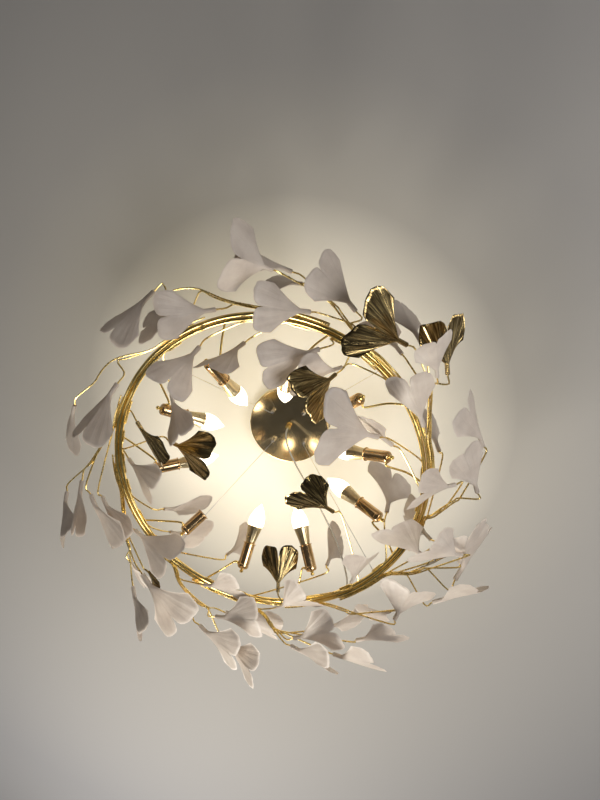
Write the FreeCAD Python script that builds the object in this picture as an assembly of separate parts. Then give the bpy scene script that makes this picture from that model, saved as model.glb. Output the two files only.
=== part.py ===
import FreeCAD, Part
import math
import os

from FreeCAD import Placement, Rotation, Vector

# Ring chandelier of ginkgo branches, in millimetres. The origin is the middle of the ceiling
# face and +Z points up, so the whole lamp hangs below z = 0. Places round the ring are polar:
# an angle in degrees about Z, a distance from the axis, and a rise above the ring's own plane.

# ---- driving dimensions ----
ring_drop = 280.0            # ceiling to the ring's centre line
ring_diameter = 650.0        # centre line of the hoop
hoop_tube = 9.0              # each of the two tubes that lie side by side
hoop_groove = 1.5            # height of the groove between the tubes, down from the hoop's middle
stem_rod = 7.5
twig_rod = 2.8
runner_rod = 3.4
rod_gap = 1.0                # between the hoop and a rod that lies beside it
braze_bite = 1.2             # how far a rod's first end sinks into the braze on the hoop

leaf_length = 124.0          # neck end to lobe tip of a full-size leaf
leaf_width = 112.0
leaf_thickness = 3.0
leaf_cup = 15.0              # degrees that each wing lifts from flat
neck_diameter = 8.6
glued_depth = 7.0            # how far a twig reaches into the neck

lamp_inset = 70.0            # hoop's centre line in to the back of each lampholder
lamp_rise = 4.0
lamp_tilt = 30.0             # degrees above the horizontal, pointing at the ring's axis
lamp_angles = [349, 21, 68, 104, 139, 176, 209, 243, 281, 318]
empty_lamps = [139, 318]     # the two holders that carry no bulb
holder_length = 58.0
holder_diameter = 25.0
holder_wall = 1.2
holder_floor = 4.2
holder_lip = 2.0
core_top = 46.0
socket_diameter = 14.0       # E14 lamp socket
socket_depth = 24.0
cap_clearance = 0.1
fit_gap = 0.3                # between neighbouring seated pieces
arm_tube = 4.6
bulb_length = 90.0           # the part that shows beyond the holder
bulb_diameter = 35.6
housing_length = 39.0

canopy_diameter = 196.0
canopy_depth = 26.0
canopy_wall = 1.0
canopy_sides = 36
bracket_width = 26.0
bracket_strip = 2.5
bracket_ear = 16.0
ceiling_screw_slot = 5.0     # width of the slots for the ceiling screws
ceiling_screw_spacing = 120.0
slot_length = 12.0
side_screw = 4.0
block_length = 30.0          # terminal block
block_width = 14.0
block_height = 8.0
block_rib = 4.0

gripper_radius = 54.0        # ring of the four wire grippers on the canopy
gripper_angles = [45, 135, 225, 315]
gripper_diameter = 10.0
gripper_length = 14.0
gripper_stud = 6.0
sleeve_diameter = 5.0
sleeve_length = 8.0
sleeve_travel = 1.5
sleeve_clearance = 0.05
wire_diameter = 1.2
wire_hole = 1.8
anchor_height = 9.0
anchor_diameter = 7.0

cord_diameter = 4.0
cord_sides = 5
cord_grip_diameter = 13.0
cord_grip_length = 18.0
cord_end_angle = 58.0        # where the mains cord enters the ring


# ---- shapes ----
def polar(angle, radius, rise):
    """A point by its angle round the ring, distance from the axis and rise over the ring plane."""
    turn = math.radians(angle)
    return Vector(radius * math.cos(turn), radius * math.sin(turn), rise - ring_drop)


def closed_solid(faces):
    """One solid from flat faces that meet edge to edge."""
    shell = Part.makeShell([Part.Face(Part.makePolygon(face + [face[0]])) for face in faces])
    shell.sewShape()
    solid = Part.makeSolid(shell)
    if solid.Volume < 0:
        solid.reverse()
    return solid


def stacked(rings, capped=True):
    """Quads between neighbouring rings of corners, with a flat face at both ends."""
    faces = []
    count = len(rings[0])
    pairs = list(zip(rings, rings[1:])) if capped else list(zip(rings, rings[1:] + rings[:1]))
    for low, high in pairs:
        for i in range(count):
            j = (i + 1) % count
            faces.append([low[i], low[j], high[j], high[i]])
    if capped:
        faces += [rings[0], rings[-1]]
    return closed_solid(faces)


def turned(profile, sides, capped=True):
    """A turned piece from (radius, height) corners, its round made of a few flat sides."""
    turns = [2 * math.pi * (i + 0.5) / sides for i in range(sides)]
    rings = [[Vector(r * math.cos(t), r * math.sin(t), z) for t in turns] for r, z in profile]
    return stacked(rings, capped)


def rod(points, diameter, sides):
    """A straight-sided rod through the points, mitred at each bend."""
    runs = [(b - a).normalize() for a, b in zip(points, points[1:])]
    across = runs[0].cross(Vector(0.3, 0.2, 1)).normalize()
    upright = across.cross(runs[0])
    turns = [2 * math.pi * i / sides for i in range(sides)]
    ring = [points[0] + (across * math.cos(t) + upright * math.sin(t)) * (diameter / 2) for t in turns]
    rings = [ring]
    for i, run in enumerate(runs):
        normal = run if i == len(runs) - 1 else run + runs[i + 1]
        reach = run.dot(normal)
        ring = [v + run * ((points[i + 1] - v).dot(normal) / reach) for v in ring]
        rings.append(ring)
    return stacked(rings)


def tangent_path(points):
    """Straight runs joined by tangent arcs, each as large as its two runs allow."""
    edges = []
    radii = []
    start = points[0]
    for before, corner, after in zip(points, points[1:], points[2:]):
        into = corner - before
        out = after - corner
        setback = 0.45 * min(into.Length, out.Length)
        into.normalize()
        out.normalize()
        half_turn = into.getAngle(out) / 2
        radius = setback / math.tan(half_turn)
        inward = (out - into).normalize()
        middle = corner + inward * (radius / math.cos(half_turn) - radius)
        first = corner - into * setback
        last = corner + out * setback
        edges.append(Part.LineSegment(start, first).toShape())
        edges.append(Part.Arc(first, middle, last).toShape())
        radii.append(radius)
        start = last
    edges.append(Part.LineSegment(start, points[-1]).toShape())
    return Part.Wire(edges), radii


def bent_tube(points, diameter, sides):
    """A rod of a few flat sides swept along the tangent path through the points."""
    path, radii = tangent_path(points)
    run = (points[1] - points[0]).normalize()
    across = run.cross(Vector(0.3, 0.2, 1)).normalize()
    upright = across.cross(run)
    turns = [2 * math.pi * i / sides for i in range(sides)]
    corners = [points[0] + (across * math.cos(t) + upright * math.sin(t)) * (diameter / 2) for t in turns]
    section = Part.makePolygon(corners + [corners[0]])
    solid = path.makePipeShell([section], True, False)
    if solid.Volume < 0:
        solid.reverse()
    return solid, radii, path.Length


def smooth(points, count):
    """Evenly spaced places on the smooth curve through the points."""
    curve = Part.BSplineCurve()
    curve.interpolate(points)
    return curve.discretize(count)


def save(name, *solids):
    """Write one node, as one solid or as a group of separate ones."""
    shape = solids[0] if len(solids) == 1 else Part.makeCompound(list(solids))
    shape.exportStep("parts/" + name + ".step")


# ---- canopy ----
canopy_radius = canopy_diameter / 2
canopy_face = -canopy_depth
inside_face = canopy_face + canopy_wall


def at_grippers(solid):
    """The four copies of a gripper piece, one over each wire."""
    copies = []
    for angle in gripper_angles:
        place = polar(angle, gripper_radius, ring_drop)
        copies.append(solid.translated(Vector(place.x, place.y, 0)))
    return copies


def canopy_cover():
    """A shallow round dish, open to the ceiling, pierced for the wires, the cord and its screws."""
    bevel = 1.5
    inner = canopy_radius - canopy_wall
    dish = turned([(inner, inside_face), (inner, 0), (canopy_radius, 0),
                   (canopy_radius, canopy_face + bevel), (canopy_radius - bevel, canopy_face)], canopy_sides)
    low = canopy_face - canopy_wall
    high = inside_face + canopy_wall
    stud_hole = gripper_stud / 2 + fit_gap
    neck_hole = cord_grip_neck / 2 + fit_gap
    holes = at_grippers(turned([(stud_hole, low), (stud_hole, high)], 8))
    holes.append(turned([(neck_hole, low), (neck_hole, high)], 10))
    return dish.cut(holes + [cross_bore(side_screw + 2 * fit_gap)])


def cross_bore(width):
    """The line of the two side screws, right through from rim to rim."""
    reach = canopy_radius + canopy_wall
    bore = turned([(width / 2, -reach), (width / 2, reach)], 8)
    bore.Placement = Placement(Vector(0, 0, screw_level), Rotation(Vector(0, 0, 1), Vector(1, 0, 0)))
    return bore


screw_level = -bracket_ear / 2 - bracket_strip
cord_grip_neck = 9.0
ear_reach = canopy_radius - canopy_wall - fit_gap


def ceiling_bracket():
    """A strap across the ceiling with slots for its screws and an ear bent down at each end."""
    strap = Part.makeBox(2 * ear_reach - 8, bracket_width, bracket_strip,
                         Vector(-ear_reach + 4, -bracket_width / 2, -bracket_strip))
    ears = []
    for side in (-1, 1):
        inner = side * (ear_reach - 4) - (bracket_strip if side > 0 else 0)
        ear = Part.makeBox(bracket_strip, bracket_width, bracket_ear + bracket_strip,
                           Vector(inner, -bracket_width / 2, -bracket_ear - bracket_strip))
        ears.append(ear)
    bracket = strap.fuse(ears).removeSplitter()
    cuts = []
    half = (slot_length - ceiling_screw_slot) / 2
    for side in (-1, 1):
        middle = side * ceiling_screw_spacing / 2
        bar = Part.makeBox(2 * half, ceiling_screw_slot, 3 * bracket_strip,
                           Vector(middle - half, -ceiling_screw_slot / 2, -2 * bracket_strip))
        ends = [Part.makeCylinder(ceiling_screw_slot / 2, 3 * bracket_strip,
                                  Vector(middle + end * half, 0, -2 * bracket_strip)) for end in (-1, 1)]
        cuts.append(bar.fuse(ends).removeSplitter())
    return bracket.cut(cuts + [cross_bore(side_screw)])


def side_screws():
    """Two knurled screws that pass through the rim into the bracket's ears."""
    head_reach = 3.5
    shank = 9.0
    screws = []
    for side in (-1, 1):
        body = turned([(side_screw / 2 - 0.05, -shank), (side_screw / 2 - 0.05, 0.0)], 8)
        head = turned([(4.5, 0.0), (4.5, head_reach)], 8)
        screw = body.fuse(head).removeSplitter()
        place = Placement(Vector(side * canopy_radius, 0, screw_level), Rotation(Vector(0, 0, 1), Vector(side, 0, 0)))
        screw.Placement = place
        screws.append(screw)
    return screws


def gripper_body():
    """Threaded stud, round body and the bore in which the release sleeve slides."""
    bevel = 1.5
    stud_top = inside_face + 9
    bottom = canopy_face - gripper_length
    bore = sleeve_diameter / 2 + sleeve_clearance
    seat = bottom + sleeve_length - sleeve_reach + sleeve_travel + fit_gap
    return turned([(bore, bottom), (gripper_diameter / 2 - bevel, bottom), (gripper_diameter / 2, bottom + bevel),
                   (gripper_diameter / 2, canopy_face), (gripper_stud / 2, canopy_face),
                   (gripper_stud / 2, stud_top), (wire_hole / 2, stud_top), (wire_hole / 2, seat), (bore, seat)],
                  8, capped=False)


sleeve_reach = 3.0
sleeve_bottom = canopy_face - gripper_length - sleeve_reach


def gripper_sleeve():
    """The small sleeve that is pushed up to free the wire."""
    top = sleeve_bottom + sleeve_length
    return turned([(wire_hole / 2, sleeve_bottom), (sleeve_diameter / 2, sleeve_bottom),
                   (sleeve_diameter / 2, top), (wire_hole / 2, top)], 8, capped=False)


def gripper_nut():
    """Nut that clamps a gripper to the canopy from inside."""
    top = inside_face + 4
    bore = gripper_stud / 2 + 0.02
    return turned([(bore, inside_face), (6.2, inside_face), (6.2, top), (bore, top)], 8, capped=False)


def cord_grip():
    """Screwed strain relief in the middle of the canopy, with its nut inside."""
    radius = cord_grip_diameter / 2
    bottom = canopy_face - cord_grip_length
    body = turned([(radius - 2.5, bottom), (radius, bottom + 6), (radius, canopy_face)], 10)
    neck = turned([(cord_grip_neck / 2, canopy_face), (cord_grip_neck / 2, inside_face + 8)], 10)
    nut = turned([(8.5, inside_face), (8.5, inside_face + 4)], 6)
    return body.fuse([neck, nut]).removeSplitter()


def terminal_block():
    """Three-way terminal block that hangs under the strap."""
    pitch = block_length / 3
    rib = 0.6 * pitch
    foot = -bracket_strip - block_height
    block = Part.makeBox(block_length, block_width, block_height, Vector(-block_length / 2, -block_width / 2, foot))
    ribs = [Part.makeBox(rib, block_width, block_rib, Vector(step * pitch - rib / 2, -block_width / 2, foot - block_rib))
            for step in (-1, 0, 1)]
    return block.fuse(ribs).removeSplitter()


# ---- suspension ----
ring_radius = ring_diameter / 2
hoop_top = hoop_tube / 2
hoop_sides = 48
hoop_reach = hoop_top + hoop_top * math.cos(math.radians(30))
wire_start = sleeve_bottom - fit_gap - wire_diameter
gland_height = 8.0

# Route of the mains cord: angle, share of the way out to the hoop, share of the way down to it.
cord_route = [(68, 0.0, 0.0), (68, 0.0, 0.08), (68, 0.028, 0.183), (66, 0.095, 0.277), (63.5, 0.197, 0.358),
              (61, 0.329, 0.434), (59, 0.477, 0.510), (57.7, 0.625, 0.579), (57.2, 0.754, 0.642),
              (57.3, 0.852, 0.702), (57.6, 0.923, 0.767), (cord_end_angle, 0.978, 0.845),
              (cord_end_angle, 1.0, 0.919), (cord_end_angle, 1.0, 1.0)]


def suspension_wires():
    """Four straight steel wires from the grippers out to the ring."""
    wires = []
    for angle in gripper_angles:
        top = polar(angle, gripper_radius, ring_drop + wire_start)
        end = polar(angle, ring_radius, hoop_top + anchor_height + fit_gap)
        wires.append(rod([top, end], wire_diameter, 6))
    return wires


def wire_anchors():
    """Four small turned posts on top of the hoop that hold the wires' ends."""
    anchors = []
    for angle in gripper_angles:
        post = turned([(anchor_diameter / 2, 0), (anchor_diameter / 2, 4), (1.6, anchor_height)], 8)
        post.translate(polar(angle, ring_radius, hoop_top))
        anchors.append(post)
    return anchors


def mains_cord():
    """Clear round cord that hangs from the canopy and drops into the ring."""
    top = canopy_face - cord_grip_length + ring_drop
    end = hoop_top + gland_height
    points = [polar(angle, ring_radius * out, top + (end - top) * down) for angle, out, down in cord_route]
    return bent_tube(points, cord_diameter, cord_sides)


def cord_gland():
    """Small gland on top of the hoop where the cord goes in."""
    gland = turned([(5.0, 0), (5.0, 5), (3.4, gland_height)], 8)
    gland.translate(polar(cord_end_angle, ring_radius, hoop_top))
    return gland


def hoop():
    """Two tubes side by side, brazed into one ring with a flat top and a groove along its foot."""
    flank = hoop_top * math.sin(math.radians(30))
    section = [(-hoop_top, hoop_top), (hoop_top, hoop_top), (hoop_reach, flank), (hoop_reach, -flank),
               (hoop_top, -hoop_top), (0, -hoop_groove), (-hoop_top, -hoop_top), (-hoop_reach, -flank),
               (-hoop_reach, flank)]
    ring = turned([(ring_radius + out, level) for out, level in section], hoop_sides, capped=False)
    return ring.translated(Vector(0, 0, -ring_drop))


# ---- lamps ----
def lamp_place(angle):
    """Where a lampholder's back face sits, with its own +Z along the lamp."""
    turn = math.radians(angle)
    tilt = math.radians(lamp_tilt)
    along = Vector(-math.cos(turn) * math.cos(tilt), -math.sin(turn) * math.cos(tilt), math.sin(tilt))
    side = Vector(-math.sin(turn), math.cos(turn), 0)
    base = polar(angle, ring_radius - lamp_inset, lamp_rise)
    return Placement(base, Rotation(side, along.cross(side), along, "ZXY"))


def at_lamps(solid, angles):
    """Copies of a lamp piece, one at each angle."""
    copies = []
    for angle in angles:
        copy = solid.copy()
        copy.Placement = lamp_place(angle)
        copies.append(copy)
    return copies


holder_radius = holder_diameter / 2
holder_bore = holder_radius - holder_wall
lamp_sides = 8
arm_level = 9.0


def lampholder_cup():
    """Drawn metal cup with a bevelled base and a flat lip round its mouth."""
    lip_radius = holder_radius + holder_lip
    profile = [(holder_radius - 3.5, 0), (holder_radius, 5), (holder_radius, holder_length - 2),
               (lip_radius, holder_length - 2), (lip_radius, holder_length),
               (holder_bore, holder_length), (holder_bore, holder_floor)]
    return turned(profile, lamp_sides)


def lampholder_core(open_socket):
    """Insulating core that seats on the cup's floor; a free socket has its true round bore."""
    radius = holder_bore - fit_gap
    bottom = core_top - socket_depth
    bore = socket_diameter / 2
    if open_socket:
        core = turned([(radius, holder_floor), (radius, core_top)], lamp_sides)
        return core.cut(Part.makeCylinder(bore, socket_depth, Vector(0, 0, bottom)))
    return turned([(radius, holder_floor), (radius, core_top), (bore, core_top), (bore, bottom)], lamp_sides)


def lampholder_finial():
    """Turned knob behind the cup."""
    return turned([(5.0, 0), (2.4, -3), (4.2, -6), (0.8, -10)], 6)


def lamp_arm(angle):
    """Bent tube that rises from the hoop and meets the cup from the side."""
    place = lamp_place(angle)
    wall = place.multVec(Vector(holder_radius * math.cos(math.pi / lamp_sides), 0, arm_level))
    beside = place.multVec(Vector(holder_radius + 8, 0, arm_level))
    points = [polar(angle + 13, ring_radius, hoop_top), polar(angle + 13, ring_radius, 14),
              polar(angle + 9, ring_radius - 37, 17), beside, wall]
    return rod(points, arm_tube, 5)


cap_radius = socket_diameter / 2 - cap_clearance
cap_bottom = core_top - socket_depth + 1
housing_top = holder_length + housing_length
bulb_radius = bulb_diameter / 2


def bulb_base():
    """Screw cap and flared cooling housing of a candle bulb."""
    throat = holder_bore * math.cos(math.pi / lamp_sides) - fit_gap
    profile = [(4.0, cap_bottom), (cap_radius, cap_bottom + 3), (cap_radius, core_top),
               (throat, core_top + 1), (throat, holder_length), (bulb_radius - 1, housing_top)]
    return turned(profile, lamp_sides)


def bulb_diffuser():
    """Frosted flame-shaped cover that seats on the housing."""
    cover = bulb_length - housing_length
    shares = [(0.90, 0.0), (1.0, 0.18), (0.92, 0.41), (0.55, 0.71), (0.07, 1.0)]
    return turned([(bulb_radius * wide, housing_top + cover * high) for wide, high in shares], lamp_sides)


# ---- leaves ----
# Half the outline of a fan-shaped leaf, as shares of its length and half width, from the neck
# out round one lobe to the notch.
half_outline = [(0.25, 0.10), (0.48, 0.40), (0.70, 0.95), (0.90, 0.98), (1.0, 0.64), (0.88, 0.34), (0.64, 0.0)]


def whole_leaf():
    """Two-lobed leaf with lifted wings and a tubular neck, growing along +X from the origin."""
    lift = math.tan(math.radians(leaf_cup))
    half = leaf_thickness / 2
    outline = [(leaf_length * x, leaf_width / 2 * y) for x, y in half_outline]
    root, notch = outline[0], outline[-1]

    def corner(x, y, level):
        return Vector(x, y, abs(y) * lift + level)

    faces = []
    for side in (-1, 1):
        edge = [(x, side * y) for x, y in outline]
        for level in (-half, half):
            faces.append([corner(root[0], 0, level)] + [corner(x, y, level) for x, y in edge])
        for (x0, y0), (x1, y1) in zip(edge, edge[1:]):
            faces.append([corner(x0, y0, -half), corner(x1, y1, -half), corner(x1, y1, half), corner(x0, y0, half)])
    # The neck runs from a round end into the blade's own first section.
    blade_start = [corner(root[0], root[1], -half), corner(root[0], root[1], half), corner(root[0], 0, half),
                   corner(root[0], -root[1], half), corner(root[0], -root[1], -half), corner(root[0], 0, -half)]
    neck_end = []
    for i in range(6):
        turn = math.radians(60 * i - 30)
        neck_end.append(Vector(0, neck_diameter / 2 * math.cos(turn), neck_diameter / 2 * math.sin(turn)))
    for i in range(6):
        j = (i + 1) % 6
        faces.append([neck_end[i], neck_end[j], blade_start[j]])
        faces.append([neck_end[i], blade_start[j], blade_start[i]])
    faces.append(neck_end)
    return closed_solid(faces)


leaf_pattern = whole_leaf()


def leaf(neck, aim, roll, size):
    """A leaf whose neck end is at one point and that grows towards another, face down."""
    along = (aim - neck).normalize()
    side = Vector(0, 0, 1).cross(along).normalize()
    face = along.cross(side)
    turn = Rotation(along, roll)
    side = turn.multVec(side)
    face = turn.multVec(face)
    copy = leaf_pattern.scaled(size)
    copy.Placement = Placement(neck, Rotation(along, side, face, "XZY"))
    return copy


def twig(fork, neck, aim, size):
    """A thin rod from its stem that turns to run into a leaf's neck."""
    along = (aim - neck).normalize()
    knee = neck - along * (22 * size)
    return rod([fork, knee, neck + along * glued_depth], twig_rod, 5)


# ---- branches ----
outer_lane = ring_radius + hoop_reach + stem_rod / 2 + rod_gap
inner_lane = ring_radius - hoop_reach - runner_rod / 2 - rod_gap
sunk = rod_gap + braze_bite

# Each stem lies beside the hoop from its first angle to its second, then leaves it through the
# given places: an angle, a distance out from the hoop's centre line and a rise. Each sprig is: stem
# place it forks from, neck place, aim place, roll, size, gold.
branches = {
    "top_left": {
        "lie": (292, 276), "leave": [(259, 31, 4), (250, 72, 2), (241, 93, -4)],
        "sprigs": [
            (0, (255, 24, -12), (245, 43, -62), 0, 1.0, False),
            (1, (243, 42, 26), (231, 54, 36), 62, 1.0, False),
            (2, (240, 99, -8), (231, 87, -47), 51, 1.1, False),
        ],
    },
    "left_upper": {
        "lie": (250, 232), "leave": [(226, 18, 4), (215, 61, -2), (204, 76, -10)],
        "sprigs": [
            (1, (211, 26, -20), (201, 29, -66), 39, 1.18, False),
            (2, (196, 107, 4), (186, 123, 14), 42, 0.95, False),
        ],
    },
    "left": {
        "lie": (206, 192), "leave": [(194, 16, -4), (186, 35, -10), (179, 60, -18)],
        "sprigs": [
            (2, (171, 118, -34), (165, 110, -97), 31, 1.0, False),
            (2, (173, 90, -12), (164, 103, -57), 41, 1.05, False),
            (1, (170, 60, -40), (159, 40, -66), 34, 1.12, False),
            (0, (167, 51, -16), (157, 23, -52), 15, 1.0, False),
        ],
    },
    "left_lower": {
        "lie": (182, 167), "leave": [(158, 26, -6), (150, 45, -14), (145, 52, -22)],
        "sprigs": [
            (2, (142, 84, -8), (132, 118, 9), 26, 0.8, False),
            (2, (136, 99, -40), (129, 107, -98), 27, 1.0, False),
            (2, (137, 64, -30), (126, 69, -56), 18, 1.3, False),
            (0, (152, 6, -26), (141, -36, -60), -26, 1.05, False),
            (1, (137, 64, -12), (129, 23, -58), -9, 0.5, True),
        ],
    },
    "bottom_left": {
        "lie": (146, 131), "leave": [(125, 35, -6), (117, 48, -14), (110, 51, -20)],
        "sprigs": [
            (0, (117, -7, -20), (105, -50, -48), 18, 0.95, False),
            (1, (112, 81, -44), (102, 80, -86), 16, 1.05, False),
            (2, (103, 115, -26), (95, 116, -75), 5, 1.0, False),
            (2, (108, 36, -48), (97, 1, -70), 2, 1.0, False),
            (2, (106, 72, 14), (94, 84, 10), 24, 1.2, False),
        ],
    },
    "bottom": {
        "lie": (122, 106), "leave": [(93, 29, -4), (89, 59, -10), (85, 77, -16)],
        "sprigs": [
            (0, (86, -4, -22), (73, -41, -51), 17, 0.95, False),
            (2, (81, 73, -30), (71, 50, -51), 0, 1.05, False),
            (2, (72, 88, 14), (65, 124, 66), 17, 0.95, False),
            (1, (82, 84, -42), (72, 97, -83), 23, 1.0, False),
            (2, (70, 119, -38), (61, 127, -81), 18, 1.0, False),
            (2, (63, 116, -14), (53, 114, -36), 16, 1.0, False),
        ],
    },
    "bottom_right": {
        "lie": (84, 70), "leave": [(66, 23, -2), (59, 60, -6)],
        "sprigs": [
            (1, (49, 102, -16), (40, 65, -40), 8, 1.05, False),
            (1, (50, 94, 4), (58, 108, 36), -10, 0.8, False),
        ],
    },
    "right_lower": {
        "lie": (62, 48), "leave": [(41, 17, 2), (35, 51, 2), (29, 74, 0)],
        "sprigs": [
            (2, (22, 109, -20), (13, 92, -55), 29, 1.0, False),
            (2, (30, 139, 18), (21, 146, 48), 53, 1.22, False),
            (2, (17, 92, -56), (14, 34, -105), 0, 1.0, False),
            (1, (36, 115, -30), (27, 144, -52), 37, 1.0, False),
            (1, (23, 84, -6), (22, 36, -71), 10, 0.6, True),
            (0, (25, 41, -24), (20, -29, -51), -17, 1.0, False),
            (0, (23, 50, 30), (25, 10, 99), -17, 0.95, False),
        ],
    },
    "right": {
        "lie": (28, 13), "leave": [(13, 22, 2), (7, 49, 0), (3, 72, -4)],
        "sprigs": [
            (2, (0, 96, -22), (350, 78, -53), 27, 1.0, False),
            (1, (358, 53, -24), (356, -4, -78), -18, 0.95, False),
            (2, (348, 109, -6), (338, 103, -28), 67, 0.95, False),
            (0, (350, 27, 22), (343, 15, 92), 69, 0.95, False),
        ],
    },
    "right_upper": {
        "lie": (358, 344), "leave": [(335, 29, -4), (329, 47, -10), (325, 61, -14)],
        "sprigs": [
            (2, (313, 70, -34), (303, 66, -75), 14, 1.1, True),
            (2, (316, 85, 16), (309, 92, 79), 62, 1.0, False),
            (2, (326, 93, -20), (317, 133, -39), 29, 1.0, True),
            (2, (324, 78, -50), (316, 114, -93), 35, 0.85, False),
            (1, (316, 40, 34), (307, 40, 91), 66, 0.95, False),
            (0, (337, 12, -26), (325, 24, -48), 0, 1.05, False),
        ],
    },
    "top": {
        "lie": (322, 307), "leave": [(296, 34, -2), (290, 54, -4), (285, 65, -6)],
        "sprigs": [
            (2, (273, 90, -18), (267, 117, -78), 17, 1.1, False),
            (2, (277, 84, 26), (270, 104, 2), 74, 1.0, False),
            (1, (280, 63, 38), (270, 53, 81), 71, 0.95, False),
            (0, (285, 27, -20), (277, 34, -79), 19, 1.1, False),
            (0, (297, 56, 8), (288, 95, -22), 43, 1.05, False),
        ],
    },
}

# Sprigs that grow inwards from short runners on the inner side of the hoop: runner angles,
# then the same as above with the runner's end as the fork.
inner_sprigs = [
    ((272, 262), (245, -33, -22), (238, -50, -94), 0, 1.1, False),
    ((286, 276), (262, -50, -6), (255, -62, -76), 66, 1.0, False),
    ((302, 294), (292, -31, -28), (281, -60, -80), 0, 1.1, False),
    ((326, 317), (303, -48, -4), (293, -77, -62), -39, 0.95, False),
    ((313, 303), (302, -55, -40), (297, -89, -108), 0, 0.95, True),
    ((360, 351), (333, -71, -54), (320, -100, -102), 29, 1.2, False),
    ((372, 363), (341, -57, -22), (326, -80, -55), -48, 1.0, False),
    ((206, 196), (202, -44, -32), (193, -109, -59), 29, 0.95, True),
    ((193, 185), (197, -118, -20), (200, -193, -47), 0, 0.95, True),
    ((183, 175), (179, -12, 20), (171, -67, -24), 10, 0.95, False),
    ((172, 164), (153, -54, 20), (142, -80, 78), 15, 0.95, False),
    ((158, 150), (141, -16, 40), (129, -26, 88), 0, 0.9, False),
    ((145, 137), (114, -58, 44), (107, -68, 116), 6, 0.8, False),
    ((104, 96), (63, -52, 40), (58, -61, 116), 24, 0.9, False),
    ((84, 77), (53, -21, -14), (39, -55, -28), 40, 0.8, False),
    ((44, 36), (22, -55, 50), (15, -57, 124), 28, 1.1, False),
    ((60, 51), (24, -168, -32), (7, -230, -66), 0, 0.95, True),
    ((118, 110), (85, -43, -22), (85, -110, 22), 0, 0.88, True),
    ((238, 229), (218, -74, 6), (214, -119, -46), 13, 0.95, False),
]


def at_ring(angle, out, rise):
    """A place from the branch lists: an angle, a distance out from the hoop's centre line and a rise."""
    return polar(angle, ring_radius + out, rise)


def stem_points(lie, leave):
    """Places of a stem: brazed end, along the hoop in even steps, then out through its own places."""
    first, last = lie
    steps = 4
    along = [polar(first + (last - first) * i / steps, outer_lane, 0) for i in range(1, steps + 1)]
    return [polar(first, outer_lane - sunk, 0)] + along + [at_ring(*place) for place in leave]


def grow_branch(plan):
    """The brazed stem with its twigs as one piece, and its white and gold leaves."""
    points = stem_points(plan["lie"], plan["leave"])
    stem = rod(smooth(points, 9), stem_rod, 5)
    places = [at_ring(*place) for place in plan["leave"]]
    rods = []
    white = []
    gold = []
    for fork, neck, aim, roll, size, gilded in plan["sprigs"]:
        neck_point = at_ring(*neck)
        aim_point = at_ring(*aim)
        before = places[fork - 1] if fork else points[2]
        fork_point = places[fork] + (before - places[fork]).normalize() * stem_rod
        rods.append(twig(fork_point, neck_point, aim_point, size))
        (gold if gilded else white).append(leaf(neck_point, aim_point, roll, size))
    return stem.fuse(rods), white, gold


def grow_inner(plan):
    """One inner runner with its twig, and its leaf."""
    lie, neck, aim, roll, size, gilded = plan
    first, last = lie
    neck_point = at_ring(*neck)
    aim_point = at_ring(*aim)
    along = (aim_point - neck_point).normalize()
    points = [polar(first, inner_lane + sunk, 0), polar(last, inner_lane, 0),
              neck_point - along * (30 * size), neck_point + along * glued_depth]
    return rod(points, runner_rod, 5), leaf(neck_point, aim_point, roll, size), gilded


os.makedirs("parts", exist_ok=True)

save("canopy_cover", canopy_cover())
save("ceiling_bracket", ceiling_bracket())
save("canopy_side_screws", *side_screws())
save("gripper_bodies", *at_grippers(gripper_body()))
save("gripper_nuts", *at_grippers(gripper_nut()))
for number, sleeve in enumerate(at_grippers(gripper_sleeve()), 1):
    save("gripper_sleeve_%d" % number, sleeve)
save("cord_grip", cord_grip())
save("terminal_block", terminal_block())
save("suspension_wires", *suspension_wires())
cord, cord_radii, cord_length = mains_cord()
print("cord radii", [round(r) for r in cord_radii], "length", round(cord_length, 1))
section_area = cord_sides / 2 * math.sin(2 * math.pi / cord_sides) * (cord_diameter / 2) ** 2
print("cord volume", round(cord.Volume, 1), "section x length", round(section_area * cord_length, 1))
save("mains_cord", cord)
save("hoop_fittings", cord_gland(), *wire_anchors())
save("ring_hoop", hoop())

save("lamp_arms", *[lamp_arm(angle) for angle in lamp_angles])
save("lampholder_cups", *at_lamps(lampholder_cup(), lamp_angles))
save("lampholder_finials", *at_lamps(lampholder_finial(), lamp_angles))
lit = [angle for angle in lamp_angles if angle not in empty_lamps]
save("lampholder_cores", *(at_lamps(lampholder_core(False), lit) + at_lamps(lampholder_core(True), empty_lamps)))
bases = at_lamps(bulb_base(), lit)
diffusers = at_lamps(bulb_diffuser(), lit)
for number, (base, diffuser) in enumerate(zip(bases, diffusers), 1):
    save("bulb_%d_base" % number, base)
    save("bulb_%d_diffuser" % number, diffuser)

gold_leaves = []
for name, plan in branches.items():
    stems, white, gold = grow_branch(plan)
    save("branch_" + name, stems)
    save("leaves_" + name, *white)
    gold_leaves += gold
inner_rods = []
inner_leaves = []
for plan in inner_sprigs:
    stalk, blade, gilded = grow_inner(plan)
    inner_rods.append(stalk)
    (gold_leaves if gilded else inner_leaves).append(blade)
save("inner_twigs", *inner_rods)
save("inner_leaves", *inner_leaves)
save("gold_leaves", *gold_leaves)
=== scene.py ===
import math

import bpy
import numpy as np
from mathutils import Matrix, Vector


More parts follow.
